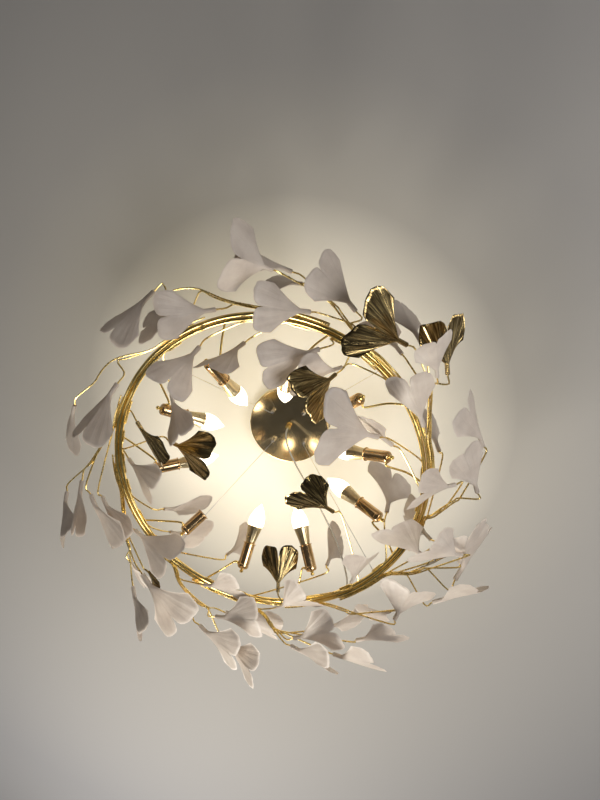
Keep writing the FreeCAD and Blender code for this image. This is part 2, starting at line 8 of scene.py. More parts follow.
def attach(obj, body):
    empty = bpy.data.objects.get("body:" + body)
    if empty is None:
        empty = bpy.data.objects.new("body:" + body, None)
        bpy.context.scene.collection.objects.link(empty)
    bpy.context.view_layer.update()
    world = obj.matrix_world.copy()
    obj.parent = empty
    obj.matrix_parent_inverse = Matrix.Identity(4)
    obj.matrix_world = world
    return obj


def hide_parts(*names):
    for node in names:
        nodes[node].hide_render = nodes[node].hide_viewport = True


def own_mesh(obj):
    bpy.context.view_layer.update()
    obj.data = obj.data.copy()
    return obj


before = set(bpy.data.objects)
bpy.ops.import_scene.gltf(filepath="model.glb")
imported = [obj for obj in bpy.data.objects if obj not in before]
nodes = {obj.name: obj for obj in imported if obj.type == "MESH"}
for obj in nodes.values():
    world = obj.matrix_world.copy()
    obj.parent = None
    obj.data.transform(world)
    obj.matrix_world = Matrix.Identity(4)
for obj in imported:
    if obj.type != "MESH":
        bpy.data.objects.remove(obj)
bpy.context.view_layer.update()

MM = 0.001

# ---- dimensions of the lamp, in millimetres and degrees ----
# The ceiling is at height 0 and the ring's plane at -DROP. Angles run round the ring from +X to +Y.
DROP = 280.0
RING = 325.0
TWIG = 3.4
HOOP_TUBE = 8.9
HOOP_LANES = (-4.5, 4.5)
HOOP_TOP = 4.5
HOOP_REACH = HOOP_TOP + HOOP_TUBE / 2
STEM_LANE = RING + HOOP_REACH + 3.2
RUNNER_LANE = RING - HOOP_REACH - TWIG / 2
ARM_TUBE = 4.4
LAMP_RADIUS = 255.0
LAMP_RISE = 4.0
LAMP_TILT = 30.0
LAMP_ANGLES = [349, 21, 68, 104, 139, 176, 209, 243, 281, 318]
EMPTY_LAMPS = [139, 318]
LIT_LAMPS = [angle for angle in LAMP_ANGLES if angle not in EMPTY_LAMPS]
CANOPY_RADIUS = 98.0
CANOPY_INSIDE = 97.0
GRIPPER_RADIUS = 54.0
GRIPPER_ANGLES = [45, 135, 225, 315]
LEAF_LENGTH = 114.0
LEAF_WIDTH = 120.0
NECK = 4.3
# A turned form that closes to a point ends in a ring of this radius.
TIP = 0.01

# Each stem lies beside the hoop from its first angle to its second, then leaves it through the
# given places: an angle, a distance out from the hoop's centre line and a rise. Each sprig is: stem
# place it forks from, neck place, aim place, roll, size, gold.
BRANCHES = {
    "top_left": {
        "lie": (292, 276), "leave": [(259, 31, 4), (250, 72, 2), (241, 93, -4)],
        "sprigs": [
            (0, (255, 24, -12), (245, 43, -62), 0, 1.0, False),
            (1, (243, 42, 26), (231, 54, 36), 62, 1.0, False),
            (2, (240, 99, -8), (231, 87, -47), 51, 1.1, False),
        ],
    },
    "left_upper": {
        "lie": (250, 232), "leave": [(226, 18, 4), (215, 61, -2), (204, 76, -10)],
        "sprigs": [
            (1, (211, 26, -20), (201, 29, -66), 39, 1.18, False),
            (2, (196, 107, 4), (186, 123, 14), 42, 0.95, False),
        ],
    },
    "left": {
        "lie": (206, 192), "leave": [(194, 16, -4), (186, 35, -10), (179, 60, -18)],
        "sprigs": [
            (2, (171, 118, -34), (165, 110, -97), 31, 1.0, False),
            (2, (173, 90, -12), (164, 103, -57), 41, 1.05, False),
            (1, (170, 60, -40), (159, 40, -66), 34, 1.12, False),
            (0, (167, 51, -16), (157, 23, -52), 15, 1.0, False),
        ],
    },
    "left_lower": {
        "lie": (182, 167), "leave": [(158, 26, -6), (150, 45, -14), (145, 52, -22)],
        "sprigs": [
            (2, (142, 84, -8), (132, 118, 9), 26, 0.8, False),
            (2, (136, 99, -40), (129, 107, -98), 27, 1.0, False),
            (2, (137, 64, -30), (126, 69, -56), 18, 1.3, False),
            (0, (152, 6, -26), (141, -36, -60), -26, 1.05, False),
            (1, (137, 64, -12), (129, 23, -58), -9, 0.5, True),
        ],
    },
    "bottom_left": {
        "lie": (146, 131), "leave": [(125, 35, -6), (117, 48, -14), (110, 51, -20)],
        "sprigs": [
            (0, (117, -7, -20), (105, -50, -48), 18, 0.95, False),
            (1, (112, 81, -44), (102, 80, -86), 16, 1.05, False),
            (2, (103, 115, -26), (95, 116, -75), 5, 1.0, False),
            (2, (108, 36, -48), (97, 1, -70), 2, 1.0, False),
            (2, (106, 72, 14), (94, 84, 10), 24, 1.2, False),
        ],
    },
    "bottom": {
        "lie": (122, 106), "leave": [(93, 29, -4), (89, 59, -10), (85, 77, -16)],
        "sprigs": [
            (0, (86, -4, -22), (73, -41, -51), 17, 0.95, False),
            (2, (81, 73, -30), (71, 50, -51), 0, 1.05, False),
            (2, (72, 88, 14), (65, 124, 66), 17, 0.95, False),
            (1, (82, 84, -42), (72, 97, -83), 23, 1.0, False),
            (2, (70, 119, -38), (61, 127, -81), 18, 1.0, False),
            (2, (63, 116, -14), (53, 114, -36), 16, 1.0, False),
        ],
    },
    "bottom_right": {
        "lie": (84, 70), "leave": [(66, 23, -2), (59, 60, -6)],
        "sprigs": [
            (1, (49, 102, -16), (40, 65, -40), 8, 1.05, False),
            (1, (50, 94, 4), (58, 108, 36), -10, 0.8, False),
        ],
    },
    "right_lower": {
        "lie": (62, 48), "leave": [(41, 17, 2), (35, 51, 2), (29, 74, 0)],
        "sprigs": [
            (2, (22, 109, -20), (13, 92, -55), 29, 1.0, False),
            (2, (30, 139, 18), (21, 146, 48), 53, 1.2, False),
            (2, (17, 92, -56), (14, 34, -105), 0, 1.0, False),
            (1, (36, 115, -30), (27, 144, -52), 37, 1.0, False),
            (1, (23, 84, -6), (22, 36, -71), 10, 0.6, True),
            (0, (25, 41, -24), (20, -29, -51), -17, 1.0, False),
            (0, (23, 50, 30), (25, 10, 99), -17, 0.95, False),
        ],
    },
    "right": {
        "lie": (28, 13), "leave": [(13, 22, 2), (7, 49, 0), (3, 72, -4)],
        "sprigs": [
            (2, (0, 96, -22), (350, 78, -53), 27, 1.0, False),
            (1, (358, 53, -24), (356, -4, -78), -18, 0.95, False),
            (2, (348, 109, -6), (338, 103, -28), 67, 0.95, False),
            (0, (350, 27, 22), (343, 15, 92), 69, 0.95, False),
        ],
    },
    "right_upper": {
        "lie": (358, 344), "leave": [(335, 29, -4), (329, 47, -10), (325, 61, -14)],
        "sprigs": [
            (2, (313, 70, -34), (303, 66, -75), 14, 1.1, True),
            (2, (316, 85, 16), (309, 92, 79), 62, 1.0, False),
            (2, (326, 93, -20), (317, 133, -39), 29, 1.0, True),
            (2, (324, 78, -50), (316, 114, -93), 35, 0.85, False),
            (1, (316, 40, 34), (307, 40, 91), 66, 0.95, False),
            (0, (337, 12, -26), (325, 24, -48), 0, 1.05, False),
        ],
    },
    "top": {
        "lie": (322, 307), "leave": [(296, 34, -2), (290, 54, -4), (285, 65, -6)],
        "sprigs": [
            (2, (273, 90, -18), (267, 117, -78), 17, 0.94, False),
            (2, (277, 84, 26), (270, 104, 2), 74, 1.0, False),
            (1, (280, 63, 38), (270, 53, 81), 71, 0.95, False),
            (0, (285, 27, -20), (277, 34, -79), 19, 1.1, False),
            (0, (297, 56, 8), (288, 95, -22), 43, 1.05, False),
        ],
    },
}

# Inner sprigs: runner angles, neck, aim, roll, size, gold.
INNER = [
    ((272, 262), (245, -33, -22), (238, -50, -94), 0, 1.1, False),
    ((286, 276), (262, -50, -6), (255, -62, -76), 66, 1.0, False),
    ((302, 294), (292, -31, -28), (281, -60, -80), 0, 1.1, False),
    ((326, 317), (303, -48, -4), (293, -77, -62), -39, 0.95, False),
    ((313, 303), (302, -55, -40), (297, -89, -108), 0, 0.95, True),
    ((360, 351), (333, -71, -54), (320, -100, -102), 29, 1.2, False),
    ((372, 363), (341, -57, -22), (326, -80, -55), -48, 1.0, False),
    ((206, 196), (202, -44, -32), (193, -109, -59), 29, 0.95, True),
    ((193, 185), (197, -118, -20), (200, -193, -47), 0, 0.95, True),
    ((183, 175), (179, -12, 20), (171, -67, -24), 10, 0.95, False),
    ((172, 164), (153, -54, 20), (142, -80, 78), 15, 0.95, False),
    ((158, 150), (141, -16, 40), (129, -26, 88), 0, 0.9, False),
    ((145, 137), (114, -58, 44), (107, -68, 116), 6, 0.8, False),
    ((104, 96), (63, -52, 40), (58, -61, 116), 24, 0.9, False),
    ((84, 77), (53, -21, -14), (39, -55, -28), 40, 0.8, False),
    ((44, 36), (22, -55, 50), (15, -57, 124), 28, 1.1, False),
    ((60, 51), (24, -168, -32), (7, -230, -66), 0, 0.95, True),
    ((118, 110), (85, -43, -22), (85, -110, 22), 0, 0.88, True),
    ((238, 229), (218, -74, 6), (214, -119, -46), 13, 0.95, False),
]

# How far a blade opens, as a share of the full width. Most leaves open by SPREAD, and the others,
# by branch and place in its list, as far as the photograph shows.
SPREAD = 0.92
FOLDED = {
    ("top", 0): 1.15, ("top", 1): 0.7, ("top", 2): 0.75, ("top", 3): 0.68, ("top", 4): 0.84,
    ("top_left", 0): 0.78, ("top_left", 1): 0.75, ("top_left", 2): 0.75,
    ("left_upper", 0): 0.85, ("left", 0): 0.8, ("left", 1): 0.8, ("left", 3): 0.8,
    ("left_lower", 1): 0.8, ("left_lower", 3): 0.8, ("bottom_left", 3): 0.8, ("bottom_left", 4): 0.8,
    ("bottom", 1): 0.8, ("bottom", 5): 0.8, ("right", 0): 0.70, ("right", 3): 0.75,
    ("right_upper", 0): 1.04, ("right_upper", 2): 0.78, ("right_upper", 3): 0.8, ("right_upper", 5): 0.70,
    ("inner", 0): 0.68, ("inner", 1): 0.75, ("inner", 2): 0.68, ("inner", 5): 1.0, ("inner", 7): 0.6,
    ("inner", 16): 0.85, ("inner", 17): 0.8, ("inner", 18): 0.72,
}

# Route of the mains cord from the canopy's grip to the gland on the hoop. Each place is an angle, a
# share of the ring's radius and a share of the way down. It passes beside the third lamp.
CORD_PLACES = [(68, 0.0, 0.0), (68, 0.0, 0.08), (68, 0.028, 0.183), (63, 0.095, 0.277), (59, 0.197, 0.358),
               (56.3, 0.329, 0.434), (55.8, 0.477, 0.510), (55.8, 0.625, 0.579), (56.2, 0.754, 0.642),
               (57, 0.852, 0.702), (57.6, 0.923, 0.767), (58, 0.978, 0.845), (58, 1.0, 0.919), (58, 1.0, 1.0)]
CORD_TOP = -44.0
CORD_END = -267.5
CORD_DIAMETER = 4.0
CORD_ANGLE = 58
WIRE_TOP = -44.5
WIRE_END = -266.2
WIRE_DIAMETER = 1.2


# ---- geometry ----
def polar(angle, radius, rise):
    """A point by its angle round the ring, distance from the axis and rise over the ring plane."""
    turn = math.radians(angle)
    return Vector((radius * math.cos(turn), radius * math.sin(turn), rise - DROP))


def at_ring(angle, out, rise):
    """A place from the branch lists: an angle, a distance out from the hoop's centre line and a rise."""
    return polar(angle, RING + out, rise)


def flowing(points, count):
    """Evenly spaced places on a smooth curve through the points."""
    pts = np.array([tuple(p) for p in points], float)
    ends = np.vstack([2 * pts[0] - pts[1], pts, 2 * pts[-1] - pts[-2]])
    fine = []
    for a, b, c, d in zip(ends, ends[1:], ends[2:], ends[3:]):
        for t in np.linspace(0, 1, 24, endpoint=False):
            fine.append(0.5 * (2 * b + (c - a) * t + (2 * a - 5 * b + 4 * c - d) * t ** 2
                               + (3 * b - a - 3 * c + d) * t ** 3))
    fine.append(pts[-1])
    fine = np.array(fine)
    along = np.concatenate([[0], np.cumsum(np.linalg.norm(np.diff(fine, axis=0), axis=1))])
    steps = np.linspace(0, along[-1], count)
    return [Vector([np.interp(s, along, fine[:, k]) for k in range(3)]) for s in steps]


def grid_faces(rows, columns, wrap):
    """Quads between neighbouring rows of vertices; wrap joins the last column to the first."""
    faces = []
    for i in range(rows - 1):
        row, above = i * columns, (i + 1) * columns
        for j in range(columns if wrap else columns - 1):
            k = (j + 1) % columns
            faces.append((row + j, row + k, above + k, above + j))
    return faces


def tube(points, radii, sides=10, closed=False, hollow=0.0):
    """A round tube along the points; hollow sinks a bore of that radius into its first end."""
    count = len(points)
    if not hasattr(radii, "__len__"):
        radii = [radii] * count
    tangents = []
    for i in range(count):
        before = points[(i - 1) % count] if closed or i else points[0]
        after = points[(i + 1) % count] if closed or i < count - 1 else points[-1]
        tangents.append((after - before).normalized())
    normal = tangents[0].orthogonal().normalized()
    verts, uvs = [], []
    run = 0.0
    for i, (p, t, r) in enumerate(zip(points, tangents, radii)):
        normal = (normal - t * normal.dot(t)).normalized()
        side = t.cross(normal)
        if i:
            run += (p - points[i - 1]).length
        for j in range(sides):
            turn = 2 * math.pi * j / sides
            verts.append(p + (normal * math.cos(turn) + side * math.sin(turn)) * r)
            uvs.append((j / sides, run * 0.01))
    faces = grid_faces(count, sides, True)
    if closed:
        last = (count - 1) * sides
        shift = min(range(sides), key=lambda j: (verts[j] - verts[last]).length)
        for j in range(sides):
            k = (j + 1) % sides
            faces.append((last + j, last + k, (k + shift) % sides, (j + shift) % sides))
        return verts, faces, uvs
    faces.append(tuple(range((count - 1) * sides, count * sides)))
    if hollow:
        inward = tangents[0]
        for depth in (0.0, 3.0 * hollow):
            start = len(verts)
            for j in range(sides):
                spoke = (verts[j] - points[0]).normalized()
                verts.append(points[0] + spoke * hollow + inward * depth)
                uvs.append((j / sides, 0.0))
            before = 0 if depth == 0.0 else start - sides
            for j in range(sides):
                k = (j + 1) % sides
                faces.append((before + k, before + j, start + j, start + k))
        faces.append(tuple(reversed(range(len(verts) - sides, len(verts)))))
    else:
        faces.append(tuple(reversed(range(sides))))
    return verts, faces, uvs


def lathe(profile, sides=32):
    """A turned form about +Z from (radius, height) corners; a radius of 0 closes to a fine tip."""
    verts, uvs = [], []
    run = 0.0
    for i, (r, z) in enumerate(profile):
        if i:
            run += math.hypot(r - profile[i - 1][0], z - profile[i - 1][1])
        for j in range(sides):
            turn = 2 * math.pi * j / sides
            verts.append(Vector((max(r, TIP) * math.cos(turn), max(r, TIP) * math.sin(turn), z)))
            uvs.append((j / sides, run * 0.01))
    last = (len(profile) - 1) * sides
    faces = grid_faces(len(profile), sides, True)
    faces += [tuple(reversed(range(sides))), tuple(range(last, last + sides))]
    return verts, faces, uvs


def placed(part, matrix):
    """A part's vertices, faces and texture coordinates, moved by a matrix."""
    verts, faces, uvs = part
    return [matrix @ v for v in verts], faces, uvs


def piece(name, parts, material, body, replaced, sharp=35.0):
    """One object from its parts, in metres, riding on its body in place of a CAD node."""
    verts, faces, uvs = [], [], []
    for part_verts, part_faces, part_uvs in parts:
        start = len(verts)
        verts += part_verts
        uvs += part_uvs
        faces += [tuple(start + k for k in face) for face in part_faces]
    mesh = bpy.data.meshes.new(name)
    mesh.from_pydata([tuple(v * MM) for v in verts], [], faces)
    layer = mesh.uv_layers.new(name="along")
    for loop in mesh.loops:
        layer.data[loop.index].uv = uvs[loop.vertex_index]
    mesh.polygons.foreach_set("use_smooth", [True] * len(mesh.polygons))
    mesh.set_sharp_from_angle(angle=math.radians(sharp))
    mesh.materials.append(material)
    mesh.update()
    obj = bpy.data.objects.new(name, mesh)
    bpy.context.scene.collection.objects.link(obj)
    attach(obj, body)
    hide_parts(replaced)
    return obj


# ---- materials ----
class Nodes:
    """Short names for the nodes of one material."""

    def __init__(self, name):
        self.material = bpy.data.materials.new(name)
        self.material.use_nodes = True
        self.tree = self.material.node_tree
        self.shader = self.tree.nodes["Principled BSDF"]
        self.output = self.tree.nodes["Material Output"]

    def add(self, kind, **values):
        """A new node with its settings."""
        node = self.tree.nodes.new(kind)
        for key, value in values.items():
            setattr(node, key, value)
        return node

    def link(self, source, target):
        """Joins an output to an input."""
        self.tree.links.new(source, target)

    def set(self, **values):
        """Values of the main shader's inputs, with _ for each space in a name."""
        for key, value in values.items():
            self.shader.inputs[key.replace("_", " ")].default_value = value

    def coordinates(self, use_uv=False, scale=(1, 1, 1)):
        """Places on the object, or on its own grid, times a scale."""
        coord = self.add("ShaderNodeTexCoord")
        mapping = self.add("ShaderNodeMapping")
        mapping.inputs["Scale"].default_value = scale
        self.link(coord.outputs["UV" if use_uv else "Object"], mapping.inputs["Vector"])
        return mapping.outputs["Vector"]

    def noise(self, scale, detail=4.0, roughness=0.5, vector=None):
        """A cloudy value from 0 to 1."""
        noise = self.add("ShaderNodeTexNoise")
        noise.inputs["Scale"].default_value = scale
        noise.inputs["Detail"].default_value = detail
        noise.inputs["Roughness"].default_value = roughness
        self.link(vector or self.coordinates(), noise.inputs["Vector"])
        return noise.outputs["Fac"]

    def ramp(self, source, stops):
        """A colour by a value, through (value, colour) stops."""
        ramp = self.add("ShaderNodeValToRGB")
        elements = ramp.color_ramp.elements
        while len(elements) < len(stops):
            elements.new(0.5)
        for element, (place, colour) in zip(elements, stops):
            element.position = place
            element.color = (*colour, 1.0)
        self.link(source, ramp.inputs["Fac"])
        return ramp.outputs["Color"]

    def span(self, source, low, high):
        """A value of 0 to 1, spread from low to high."""
        span = self.add("ShaderNodeMapRange")
        span.inputs["To Min"].default_value = low
        span.inputs["To Max"].default_value = high
        self.link(source, span.inputs["Value"])
        return span.outputs["Result"]

    def bump(self, source, strength, distance):
        """Relief on the main shader, and the normal it gives."""
        bump = self.add("ShaderNodeBump")
        bump.inputs["Strength"].default_value = strength
        bump.inputs["Distance"].default_value = distance
        self.link(source, bump.inputs["Height"])
        self.link(bump.outputs["Normal"], self.shader.inputs["Normal"])
        return bump.outputs["Normal"]


def metal(name, dark, light, rough, grain_scale, bump):
    """Plated or polished metal with cloudy tone, uneven polish and a fine grain."""
    n = Nodes(name)
    n.set(Metallic=1.0)
    cloud = n.noise(38.0, 5.0, 0.6)
    n.link(n.ramp(cloud, [(0.32, dark), (0.68, light)]), n.shader.inputs["Base Color"])
    n.link(n.span(n.noise(130.0, 4.0, 0.65), *rough), n.shader.inputs["Roughness"])
    n.bump(n.noise(grain_scale, 6.0, 0.7), bump, 0.0004)
    return n.material


def porcelain():
    """Thin unglazed porcelain: satin skin, faint radial ribs and light that comes through."""
    n = Nodes("bisque_porcelain")
    tone = n.noise(22.0, 5.0, 0.55)
    skin = [(0.30, (0.62, 0.545, 0.47)), (0.52, (0.74, 0.66, 0.575)), (0.75, (0.83, 0.76, 0.67))]
    n.link(n.ramp(tone, skin), n.shader.inputs["Base Color"])
    n.link(n.span(n.noise(90.0, 4.0), 0.34, 0.52), n.shader.inputs["Roughness"])
    n.set(Coat_Weight=0.12, Coat_Roughness=0.25)
    ribs = n.noise(1.0, 3.0, 0.5, n.coordinates(True, (46, 3, 1)))
    grain = n.noise(900.0, 3.0, 0.6)
    height = n.add("ShaderNodeMath", operation="MULTIPLY_ADD")
    height.inputs[1].default_value = 0.22
    n.link(grain, height.inputs[0])
    n.link(ribs, height.inputs[2])
    normal = n.bump(height.outputs["Value"], 0.6, 0.0012)
    glow = n.add("ShaderNodeBsdfTranslucent")
    n.link(n.ramp(tone, [(0.3, (0.80, 0.70, 0.62)), (0.7, (0.90, 0.82, 0.74))]), glow.inputs["Color"])
    n.link(normal, glow.inputs["Normal"])
    mix = n.add("ShaderNodeMixShader")
    mix.inputs["Fac"].default_value = 0.24
    n.link(n.shader.outputs["BSDF"], mix.inputs[1])
    n.link(glow.outputs["BSDF"], mix.inputs[2])
    n.link(mix.outputs["Shader"], n.output.inputs["Surface"])
    return n.material


def gilt_leaf():
    """Mirror gold on ceramic, with painted shade darkening the grooves between its ribs."""
    n = Nodes("gilt_ceramic")
    n.set(Metallic=1.0)
    ribs = n.noise(1.0, 4.0, 0.55, n.coordinates(True, (40, 2.5, 1)))
    # Near-black gold in the grooves and bright gold on the ribs: painted shade in the creases between the
    # ribs.
    gold = [(0.34, (0.10, 0.07, 0.03)), (0.50, (0.30, 0.22, 0.10)), (0.66, (0.92, 0.72, 0.34))]
    n.link(n.ramp(ribs, gold), n.shader.inputs["Base Color"])
    n.link(n.span(n.noise(70.0, 4.0), 0.05, 0.16), n.shader.inputs["Roughness"])
    n.bump(ribs, 0.5, 0.0016)
    return n.material


def lit_diffuser():
    """Frosted cover of a lit lamp, with a faint mottle."""
    n = Nodes("frosted_lit_cover")
    mottle = n.noise(60.0, 3.0)
    flame = [(0.3, (1.0, 0.80, 0.54)), (0.7, (1.0, 0.88, 0.68))]
    frost = [(0.3, (0.90, 0.86, 0.76)), (0.7, (0.97, 0.95, 0.88))]
    n.link(n.ramp(mottle, flame), n.shader.inputs["Emission Color"])
    n.link(n.ramp(mottle, frost), n.shader.inputs["Base Color"])
    n.link(n.span(n.noise(300.0, 3.0), 0.35, 0.55), n.shader.inputs["Roughness"])
    n.set(Emission_Strength=5.5)
    n.bump(n.noise(700.0, 3.0), 0.15, 0.0003)
    return n.material


def plastic(name, dark, light, rough):
    """Moulded plastic with a cloudy tone and a fine matt grain."""
    n = Nodes(name)
    n.link(n.ramp(n.noise(45.0, 5.0), [(0.3, dark), (0.7, light)]), n.shader.inputs["Base Color"])
    n.link(n.span(n.noise(200.0, 4.0), *rough), n.shader.inputs["Roughness"])
    n.bump(n.noise(900.0, 4.0, 0.6), 0.2, 0.0002)
    return n.material


def clear_cord():
    """Clear sheath over two laid-up tinned cores, seen as a slow twist of light and dark."""
    n = Nodes("clear_sheath")
    twist = n.add("ShaderNodeTexWave", wave_type="BANDS", bands_direction="DIAGONAL")
    twist.inputs["Scale"].default_value = 1.0
    twist.inputs["Distortion"].default_value = 0.3
    n.link(n.coordinates(True, (math.pi, 22, 1)), twist.inputs["Vector"])
    n.link(n.ramp(twist.outputs["Fac"], [(0.25, (0.62, 0.58, 0.50)), (0.75, (0.90, 0.88, 0.82))]),
           n.shader.inputs["Base Color"])
    n.link(n.span(n.noise(120.0), 0.12, 0.24), n.shader.inputs["Roughness"])
    n.set(Coat_Weight=0.8, Coat_Roughness=0.08, Transmission_Weight=0.25, IOR=1.5)
    n.bump(twist.outputs["Fac"], 0.25, 0.0004)
    return n.material


BRASS = metal("polished_brass_tube", (0.84, 0.62, 0.20), (1.0, 0.80, 0.34), (0.12, 0.28), 620.0, 0.10)
ROD = metal("brass_rod_gilt", (0.82, 0.60, 0.20), (0.98, 0.78, 0.34), (0.20, 0.36), 700.0, 0.14)
CUP = metal("rose_gold_shell", (0.68, 0.44, 0.20), (0.88, 0.64, 0.36), (0.10, 0.22), 500.0, 0.08)
HOUSING = metal("champagne_aluminium", (0.72, 0.56, 0.30), (0.90, 0.76, 0.48), (0.22, 0.36), 900.0, 0.20)
MIRROR = metal("bronze_gold_mirror", (0.70, 0.56, 0.32), (0.84, 0.70, 0.44), (0.10, 0.20), 300.0, 0.03)
NICKEL = metal("nickel_plate", (0.58, 0.56, 0.52), (0.78, 0.76, 0.72), (0.12, 0.26), 700.0, 0.10)
ZINC = metal("zinc_plate", (0.46, 0.47, 0.48), (0.68, 0.69, 0.70), (0.30, 0.50), 420.0, 0.25)
STEEL = metal("bright_wire", (0.44, 0.44, 0.45), (0.68, 0.68, 0.68), (0.22, 0.38), 1500.0, 0.35)
PORCELAIN = porcelain()
GILT = gilt_leaf()
LIT = lit_diffuser()
CORE = plastic("socket_insulator_dark", (0.05, 0.045, 0.04), (0.11, 0.10, 0.09), (0.45, 0.65))
BLOCK = plastic("terminal_white", (0.78, 0.78, 0.76), (0.88, 0.88, 0.86), (0.35, 0.5))
CLEAR = clear_cord()


# ---- leaves ----
LEAF_COLUMNS = 29
NECK_ROWS = 4
BLADE_ROWS = 16
NECK_LENGTH = 0.20 * LEAF_LENGTH
NECK_INSET = 6
HALF_THICKNESS = 1.35
# A blade's outline, by the share of its half width: how far each lobe reaches past the notch, how
# far its outer corner is cut back and how wide it has opened.
OUTLINE_KEYS = [0, 0.08, 0.18, 0.34, 0.54, 0.74, 0.90, 1.0]
LOBE_REACH = [0, 0.62, 0.88, 1.0, 1.0, 1.0, 1.0, 1.0]
CORNER_CUT = [0, 0, 0, 0, 0.04, 0.18, 0.48, 1.0]
FAN_WIDTH = [0, 0.05, 0.16, 0.42, 0.72, 0.93, 1.0]


def eased(t):
    """0 to 1 with a slow start and a slow end."""
    t = np.clip(t, 0, 1)
    return t * t * (3 - 2 * t)


def smooth_keys(t, keys, values):
    """Values at t on a curve through the keys, rounded between them."""
    fine = np.linspace(0, 1, 201)
    line = np.interp(fine, keys, values)
    width = 9
    padded = np.concatenate([np.full(width, line[0]), line, np.full(width, line[-1])])
    kernel = np.hanning(2 * width + 1)
    soft = np.convolve(padded, kernel / kernel.sum(), "same")[width:-width]
    soft[0], soft[-1] = line[0], line[-1]
    return np.interp(t, fine, soft)


def leaf_skins(rows, number):
    """A leaf's upper and under skin over rows of x, y, z and half thickness, closed all round."""
    verts, uvs = [], []
    for side in (1, -1):
        for i, (x, y, z, half) in enumerate(rows):
            for j in range(LEAF_COLUMNS):
                verts.append(Vector((x[j], y[j], z[j] + side * half[j])))
                uvs.append((j / (LEAF_COLUMNS - 1) + number * 0.37, i / len(rows) + number * 0.61))
    skin = grid_faces(len(rows), LEAF_COLUMNS, False)
    below = len(rows) * LEAF_COLUMNS
    faces = skin + [tuple(k + below for k in reversed(face)) for face in skin]
    for k in range(0, below - LEAF_COLUMNS, LEAF_COLUMNS):
        near, far = k + LEAF_COLUMNS - 1, k + 2 * LEAF_COLUMNS - 1
        faces.append((k + below, k + LEAF_COLUMNS + below, k + LEAF_COLUMNS, k))
        faces.append((near, far, far + below, near + below))
    for k in range(below - LEAF_COLUMNS, below - 1):
        faces.append((k, k + below, k + 1 + below, k + 1))
    faces.append((*range(LEAF_COLUMNS), *reversed(range(below, below + LEAF_COLUMNS))))
    return verts, faces, uvs


def leaf_form(number, gold, spread):
    """One two-lobed leaf in its own frame: a tubular neck along +X that flares into a ribbed fan."""
    draw = np.random.default_rng(1000 + number)
    notch = draw.uniform(0.64, 0.74) if gold else draw.uniform(0.72, 0.93)
    lift = math.tan(math.radians(draw.uniform(11, 19)))
    ribs = draw.integers(7, 10)
    wave = draw.uniform(3.0, 5.0)
    twist = draw.uniform(-0.16, 0.16)
    phase = draw.uniform(0, 2 * math.pi)
    droop = draw.uniform(-0.03, 0.05)
    lobe = 1 + draw.uniform(-0.06, 0.06) * np.array([-1.0, 1.0])
    rib_depth, ruffle = (1.5, 0.045) if gold else (0.55, 0.016)
    fanned = gold or spread > 1
    corner, flare, edge = (0.50, 0.50, 0.88) if fanned else (0.35, 0.38, 0.96)

    s = np.linspace(-1, 1, LEAF_COLUMNS)
    a = np.abs(s)
    reach = notch + (1 - notch) * smooth_keys(a, OUTLINE_KEYS, LOBE_REACH)
    reach = reach - corner * smooth_keys(a, OUTLINE_KEYS, CORNER_CUT)
    reach = notch + (reach - notch) * np.where(s < 0, *lobe) + ruffle * np.sin(13 * s + 2 * phase) * a
    far_x = LEAF_LENGTH * np.minimum(reach, 1.0)
    far_y = spread * LEAF_WIDTH / 2 * np.sign(s) * smooth_keys(a, OUTLINE_KEYS, FAN_WIDTH + [edge])
    neck_y = NECK * np.sin(s * math.pi / 2)
    neck_half = NECK * np.cos(s * math.pi / 2)
    bend_x = NECK_LENGTH + 0.24 * LEAF_LENGTH
    bend_y = far_y * flare + neck_y * 0.4
    side_fade = np.sqrt(np.clip(1 - a ** 7, 0, 1))

    rows = []
    for x in np.linspace(0, NECK_LENGTH, NECK_ROWS, endpoint=False):
        swell = 1 + 0.05 * (1 - x / NECK_LENGTH)
        rows.append((np.full_like(s, x), neck_y * swell, np.zeros_like(s), neck_half * swell))
    for u in np.linspace(0, 1, BLADE_ROWS) ** 0.9:
        from_neck, from_bend, from_far = (1 - u) ** 2, 2 * u * (1 - u), u * u
        x = from_neck * NECK_LENGTH + from_bend * bend_x + from_far * far_x
        y = from_neck * neck_y + from_bend * bend_y + from_far * far_y
        flat = eased(u / 0.45)
        rim = math.sqrt(max(0.0, 1 - u ** 12))
        half = (1 - flat) * neck_half + flat * HALF_THICKNESS * side_fade * rim
        z = (np.sqrt(y * y + 49) - 7) * lift
        z = z + rib_depth * np.cos(math.pi * ribs * s + phase) * u ** 1.4
        z = z + wave * np.sin(2.6 * s + phase) * u ** 2 + twist * y * u * u
        z = z - droop * LEAF_LENGTH * u * u
        rows.append((x, y, z, half))
    return leaf_skins(rows, number)


def leaf_matrix(neck, aim, roll, size):
    """The frame of a leaf: +X from neck to aim, turned about it by roll."""
    along = (aim - neck).normalized()
    side = Vector((0, 0, 1)).cross(along).normalized()
    turn = Matrix.Rotation(math.radians(roll), 3, along)
    side = turn @ side
    face = along.cross(side)
    frame_axes = Matrix((along, side, face)).transposed().to_4x4()
    return Matrix.Translation(neck) @ frame_axes @ Matrix.Scale(size, 4)


# ---- stems and twigs ----
def bundle_offset(tangent, index, count, turn):
    """Where one rod of a bundle lies beside the bundle's own line."""
    side = Vector((0, 0, 1)).cross(tangent).normalized()
    up = tangent.cross(side)
    spread = 0.0 if count == 1 else TWIG * (0.62 if count < 4 else 0.85)
    angle = 2 * math.pi * index / count + turn
    return (side * math.cos(angle) + up * math.sin(angle)) * spread


def bundle_line(points, index, count):
    """A smooth line beside the bundle's own, twisting slowly round it."""
    line = flowing(points, 6 * len(points))
    shifted = []
    for i, p in enumerate(line):
        tangent = (line[min(i + 1, len(line) - 1)] - line[max(i - 1, 0)]).normalized()
        shifted.append(p + bundle_offset(tangent, index, count, 0.09 * i))
    return shifted


